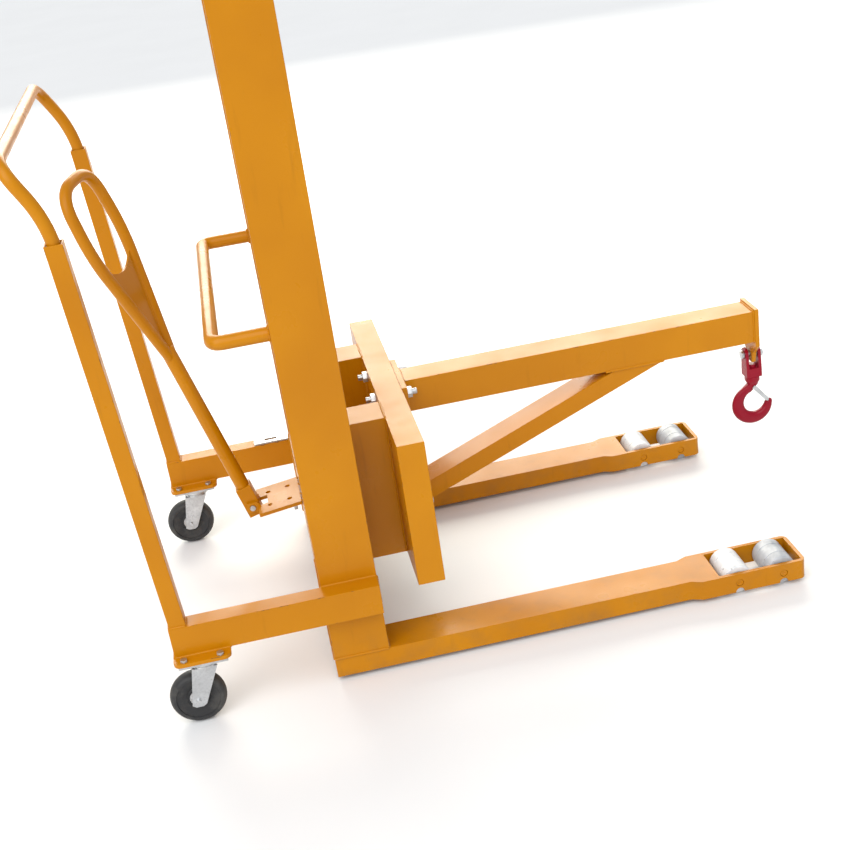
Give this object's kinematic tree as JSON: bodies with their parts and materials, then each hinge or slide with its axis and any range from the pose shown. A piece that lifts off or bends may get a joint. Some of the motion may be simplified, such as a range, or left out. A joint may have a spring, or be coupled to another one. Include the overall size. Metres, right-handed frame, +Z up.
{
  "type": "straddle stacker crane",
  "caption": "Hand-pushed hydraulic lifting crane on two straddle legs, with a channel mast, chain-lifted carriage, braced jib and swivel hook.",
  "frame": {"origin": "middle of the footprint, on the floor", "axes": "+X forward towards the hook, +Y to the far (left) side, +Z up"},
  "size_m": [1.8492, 1.0606, 1.98],
  "materials": {
    "orange_paint": "semi-gloss orange-yellow enamel",
    "roller_nylon": "white nylon, lightly scuffed",
    "wheel_rubber": "black rubber",
    "hook_red": "crimson enamel",
    "pump_grey": "dark grey enamel",
    "chain_steel": "oiled steel",
    "bright_steel": "ground steel",
    "zinc": "zinc plated"
  },
  "bodies": {
    "frame": {"caster_mount_far": "zinc", "caster_mount_near": "zinc", "caster_pad_far": "orange_paint", "caster_pad_near": "orange_paint", "leg_axle_far_front": "orange_paint", "leg_axle_far_rear": "orange_paint", "leg_axle_near_front": "orange_paint", "leg_axle_near_rear": "orange_paint", "leg_far": "orange_paint", "leg_near": "orange_paint", "lever_pin": "zinc", "lift_cylinder": "orange_paint", "mast_base": "orange_paint", "mast_channel_far": "orange_paint", "mast_channel_near": "orange_paint", "mast_head": "orange_paint", "post_far": "orange_paint", "post_near": "orange_paint", "pump_body": "pump_grey", "pump_table": "orange_paint", "push_handle": "orange_paint", "rail_far": "orange_paint", "rail_near": "orange_paint", "rail_tab": "zinc", "rear_grab_bar": "orange_paint"},
    "leg_roller_near_rear": {"leg_roller_near_rear": "roller_nylon"},
    "leg_roller_near_front": {"leg_roller_near_front": "roller_nylon"},
    "leg_roller_far_rear": {"leg_roller_far_rear": "roller_nylon"},
    "leg_roller_far_front": {"leg_roller_far_front": "roller_nylon"},
    "caster_fork_near": {"caster_fork_near": "zinc"},
    "caster_wheel_near": {"caster_wheel_near": "wheel_rubber"},
    "caster_fork_far": {"caster_fork_far": "zinc"},
    "caster_wheel_far": {"caster_wheel_far": "wheel_rubber"},
    "lever_foot": {"lever_foot": "orange_paint"},
    "pump_lever": {"pump_lever": "orange_paint"},
    "pump_piston": {"pump_piston": "bright_steel"},
    "release_valve": {"release_valve": "zinc"},
    "carriage": {"carriage_box": "orange_paint", "carriage_side_near": "orange_paint", "carriage_side_far": "orange_paint", "chain_bar": "orange_paint", "jib_flange": "orange_paint", "jib_beam": "orange_paint", "jib_brace": "orange_paint", "jib_end_plate": "orange_paint", "flange_bolt_lower_far": "zinc", "flange_bolt_lower_near": "zinc", "flange_bolt_upper_far": "zinc", "flange_bolt_upper_near": "zinc"},
    "ram": {"lift_ram": "bright_steel", "lift_chain": "chain_steel"},
    "chain_pulley": {"chain_pulley": "zinc"},
    "guide_roller_near_lower": {"guide_roller_near_lower": "bright_steel"},
    "guide_roller_near_upper": {"guide_roller_near_upper": "bright_steel"},
    "guide_roller_far_lower": {"guide_roller_far_lower": "bright_steel"},
    "guide_roller_far_upper": {"guide_roller_far_upper": "bright_steel"},
    "hook_clevis": {"hook_clevis": "hook_red", "hook_pin": "zinc"},
    "hook": {"hook": "hook_red"},
    "hook_latch": {"hook_latch": "zinc"}
  },
  "joints": [
    {"name": "leg_roller_near_rear_spin", "type": "hinge", "parent": "frame", "child": "leg_roller_near_rear", "pos_m": [0.6343, -0.39, 0.04], "axis": [0, 1, 0], "continuous": true},
    {"name": "leg_roller_near_front_spin", "type": "hinge", "parent": "frame", "child": "leg_roller_near_front", "pos_m": [0.7543, -0.39, 0.04], "axis": [0, 1, 0], "continuous": true},
    {"name": "leg_roller_far_rear_spin", "type": "hinge", "parent": "frame", "child": "leg_roller_far_rear", "pos_m": [0.6343, 0.39, 0.04], "axis": [0, 1, 0], "continuous": true},
    {"name": "leg_roller_far_front_spin", "type": "hinge", "parent": "frame", "child": "leg_roller_far_front", "pos_m": [0.7543, 0.39, 0.04], "axis": [0, 1, 0], "continuous": true},
    {"name": "caster_near_swivel", "type": "hinge", "parent": "frame", "child": "caster_fork_near", "pos_m": [-0.7397, -0.4703, 0.163], "axis": [0, 0, 1], "continuous": true},
    {"name": "caster_near_roll", "type": "hinge", "parent": "caster_fork_near", "child": "caster_wheel_near", "pos_m": [-0.7747, -0.4703, 0.07], "axis": [0, 1, 0], "continuous": true},
    {"name": "caster_far_swivel", "type": "hinge", "parent": "frame", "child": "caster_fork_far", "pos_m": [-0.7397, 0.4703, 0.163], "axis": [0, 0, 1], "continuous": true},
    {"name": "caster_far_roll", "type": "hinge", "parent": "caster_fork_far", "child": "caster_wheel_far", "pos_m": [-0.7747, 0.4703, 0.07], "axis": [0, 1, 0], "continuous": true},
    {"name": "lever_stroke", "type": "hinge", "parent": "frame", "child": "lever_foot", "pos_m": [-0.5637, 0, 0.322], "axis": [0, -1, 0], "range_deg": [0, 35], "stiffness_Nm_per_rad": 30, "springref_deg": -22.92},
    {"name": "lever_turn", "type": "hinge", "parent": "lever_foot", "child": "pump_lever", "pos_m": [-0.5637, 0, 0.322], "axis": [-0.2588, 0, 0.9659], "range_deg": [-38, 82]},
    {"name": "piston_stroke", "type": "slide", "parent": "frame", "child": "pump_piston", "axis": [1, 0, 0], "range_m": [0, 0.0146]},
    {"name": "release_valve_turn", "type": "hinge", "parent": "frame", "child": "release_valve", "pos_m": [-0.4397, 0.042, 0.27], "axis": [1, 0, 0], "range_deg": [0, 90]},
    {"name": "carriage_lift", "type": "slide", "parent": "frame", "child": "carriage", "axis": [0, 0, 1], "range_m": [0, 1.18]},
    {"name": "ram_extend", "type": "slide", "parent": "frame", "child": "ram", "axis": [0, 0, 1], "range_m": [0, 0.59], "deforming": ["lift_chain"]},
    {"name": "chain_pulley_spin", "type": "hinge", "parent": "ram", "child": "chain_pulley", "pos_m": [-0.3677, 0, 1.3], "axis": [0, 1, 0], "continuous": true},
    {"name": "guide_roller_near_lower_spin", "type": "hinge", "parent": "carriage", "child": "guide_roller_near_lower", "pos_m": [-0.3597, -0.413, 0.295], "axis": [0, 1, 0], "continuous": true},
    {"name": "guide_roller_near_upper_spin", "type": "hinge", "parent": "carriage", "child": "guide_roller_near_upper", "pos_m": [-0.3597, -0.413, 0.548], "axis": [0, 1, 0], "continuous": true},
    {"name": "guide_roller_far_lower_spin", "type": "hinge", "parent": "carriage", "child": "guide_roller_far_lower", "pos_m": [-0.3597, 0.413, 0.295], "axis": [0, 1, 0], "continuous": true},
    {"name": "guide_roller_far_upper_spin", "type": "hinge", "parent": "carriage", "child": "guide_roller_far_upper", "pos_m": [-0.3597, 0.413, 0.548], "axis": [0, 1, 0], "continuous": true},
    {"name": "hook_swing", "type": "hinge", "parent": "carriage", "child": "hook_clevis", "pos_m": [0.8686, 0, 0.466], "axis": [1, 0, 0], "range_deg": [-60, 60]},
    {"name": "hook_turn", "type": "hinge", "parent": "hook_clevis", "child": "hook", "pos_m": [0.8686, 0, 0.41], "axis": [0, 0, 1], "continuous": true},
    {"name": "latch_open", "type": "hinge", "parent": "hook", "child": "hook_latch", "pos_m": [0.8686, 0, 0.366], "axis": [0, 1, 0], "range_deg": [0, 30], "stiffness_Nm_per_rad": 0.3, "springref_deg": -20.05}
  ],
  "couplings": [
    {"joint": "ram_extend", "follows": "carriage_lift", "ratio": 0.5},
    {"joint": "piston_stroke", "follows": "lever_stroke", "m_per_rad": 0.0237}
  ]
}
